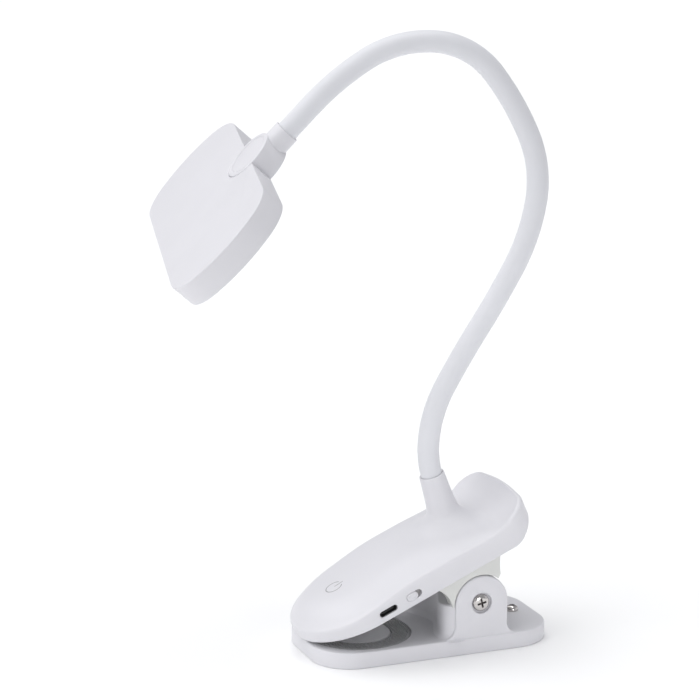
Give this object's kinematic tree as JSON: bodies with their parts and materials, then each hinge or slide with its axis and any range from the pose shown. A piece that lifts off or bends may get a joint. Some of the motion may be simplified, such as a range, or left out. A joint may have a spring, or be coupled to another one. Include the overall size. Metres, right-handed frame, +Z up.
{
  "type": "clip on reading lamp",
  "caption": "White clip-on reading lamp with a spring clip base, a bendable round neck and a wide flat light head that swivels on a round knuckle.",
  "frame": {"origin": "centre of the lower jaw's underside, where the lamp stands on a table", "axes": "+Z up, -X towards the open end of the clip where the jaws' tips meet, +X towards the hinge's heel and the squeeze end, -Y towards the side with the charging port and the slide switch"},
  "size_m": [0.1785, 0.1392, 0.282],
  "materials": {
    "white_plastic": "satin",
    "cover_plastic": "satin",
    "silicone": "matt",
    "grey_rubber": "matt",
    "steel": "satin",
    "chrome": "polished",
    "circuit": "satin",
    "battery_foil": "satin",
    "clear_acrylic": "clear",
    "opal": "satin",
    "print": "printed"
  },
  "bodies": {
    "base": {"base_frame": "white_plastic", "base_weight": "steel", "base_cover": "cover_plastic", "base_cover_screws": "chrome", "heel_screw": "chrome", "lower_grip_pad": "grey_rubber", "hinge_screw": "chrome", "hinge_nut": "steel", "torsion_spring": "steel"},
    "upper_jaw": {"upper_housing": "white_plastic", "jaw_cover": "cover_plastic", "jaw_cover_screws": "chrome", "upper_grip_pad": "grey_rubber", "battery_pack": "battery_foil", "main_board": "circuit", "usb_c_socket": "chrome", "slide_switch": "steel", "touch_electrode": "chrome", "power_symbol": "print", "neck_nut": "steel", "neck_sleeve_0": "silicone", "neck_core_0": "steel"},
    "switch": {"switch_knob": "white_plastic"},
    "neck_link_1": {"neck_sleeve_1": "silicone", "neck_core_1": "steel"},
    "neck_link_2": {"neck_sleeve_2": "silicone", "neck_core_2": "steel"},
    "neck_link_3": {"neck_sleeve_3": "silicone", "neck_core_3": "steel"},
    "neck_link_4": {"neck_sleeve_4": "silicone", "neck_core_4": "steel"},
    "neck_link_5": {"neck_sleeve_5": "silicone", "neck_core_5": "steel"},
    "neck_link_6": {"neck_sleeve_6": "silicone", "neck_core_6": "steel"},
    "neck_link_7": {"neck_sleeve_7": "silicone", "neck_core_7": "steel"},
    "neck_link_8": {"neck_sleeve_8": "silicone", "neck_core_8": "steel"},
    "neck_link_9": {"neck_sleeve_9": "silicone", "neck_core_9": "steel"},
    "knuckle": {"neck_sleeve_10": "silicone", "neck_core_10": "steel", "knuckle_body": "white_plastic", "knuckle_cap": "white_plastic", "swivel_pin": "steel", "friction_washer": "steel"},
    "head": {"head_shell": "white_plastic", "head_bezel": "white_plastic", "diffuser": "opal", "light_guide": "clear_acrylic", "reflector_sheet": "opal", "led_strip": "circuit", "head_screws": "chrome"}
  },
  "joints": [
    {"name": "clip_hinge", "type": "hinge", "parent": "base", "child": "upper_jaw", "pos_m": [0.019, 0, 0.0235], "axis": [0, 1, 0], "range_deg": [0, 28], "stiffness_Nm_per_rad": 1.2, "springref_deg": -45.84, "deforming": ["torsion_spring"]},
    {"name": "switch_slide", "type": "slide", "parent": "upper_jaw", "child": "switch", "axis": [0.9171, 0, 0.3987], "range_m": [0, 0.002]},
    {"name": "neck_lower_bend", "type": "hinge", "parent": "upper_jaw", "child": "neck_link_1", "pos_m": [0.00419, 0, 0.08926], "axis": [-0.342, -0.9397, 0], "range_deg": [-12, 12]},
    {"name": "neck_lower_side", "type": "hinge", "parent": "neck_link_1", "child": "neck_link_2", "pos_m": [0.01104, -0.00249, 0.1196], "axis": [0.8373, -0.3047, -0.454], "range_deg": [-12, 12]},
    {"name": "neck_bend_3", "type": "hinge", "parent": "neck_link_2", "child": "neck_link_3", "pos_m": [0.02539, -0.00771, 0.14715], "axis": [-0.342, -0.9397, 0], "range_deg": [-12, 12]},
    {"name": "neck_bend_4", "type": "hinge", "parent": "neck_link_3", "child": "neck_link_4", "pos_m": [0.03974, -0.01294, 0.17469], "axis": [-0.342, -0.9397, 0], "range_deg": [-12, 12]},
    {"name": "neck_side_5", "type": "hinge", "parent": "neck_link_4", "child": "neck_link_5", "pos_m": [0.04885, -0.01625, 0.20453], "axis": [0.9281, -0.3378, -0.1564], "range_deg": [-12, 12]},
    {"name": "neck_upper_bend", "type": "hinge", "parent": "neck_link_5", "child": "neck_link_6", "pos_m": [0.04528, -0.01496, 0.23539], "axis": [-0.342, -0.9397, 0], "range_deg": [-12, 12]},
    {"name": "neck_upper_side", "type": "hinge", "parent": "neck_link_6", "child": "neck_link_7", "pos_m": [0.03052, -0.00958, 0.2626], "axis": [0.7505, -0.2731, 0.6018], "range_deg": [-12, 12]},
    {"name": "neck_bend_8", "type": "hinge", "parent": "neck_link_7", "child": "neck_link_8", "pos_m": [0.00521, -0.00037, 0.27692], "axis": [-0.342, -0.9397, 0], "range_deg": [-12, 12]},
    {"name": "neck_bend_9", "type": "hinge", "parent": "neck_link_8", "child": "neck_link_9", "pos_m": [-0.02292, 0.00987, 0.26891], "axis": [-0.342, -0.9397, 0], "range_deg": [-12, 12]},
    {"name": "neck_side_10", "type": "hinge", "parent": "neck_link_9", "child": "knuckle", "pos_m": [-0.04553, 0.0181, 0.24871], "axis": [-0.6872, 0.2501, 0.682], "range_deg": [-12, 12]},
    {"name": "head_swivel", "type": "hinge", "parent": "knuckle", "child": "head", "pos_m": [-0.06806, 0.0263, 0.223], "axis": [0.7381, -0.0747, -0.6706], "range_deg": [-45, 45]}
  ],
  "couplings": [
    {"joint": "neck_bend_3", "follows": "neck_lower_bend", "ratio": 1},
    {"joint": "neck_bend_4", "follows": "neck_lower_bend", "ratio": 1},
    {"joint": "neck_side_5", "follows": "neck_lower_side", "ratio": 1},
    {"joint": "neck_bend_8", "follows": "neck_upper_bend", "ratio": 1},
    {"joint": "neck_bend_9", "follows": "neck_upper_bend", "ratio": 1},
    {"joint": "neck_side_10", "follows": "neck_upper_side", "ratio": 1}
  ]
}
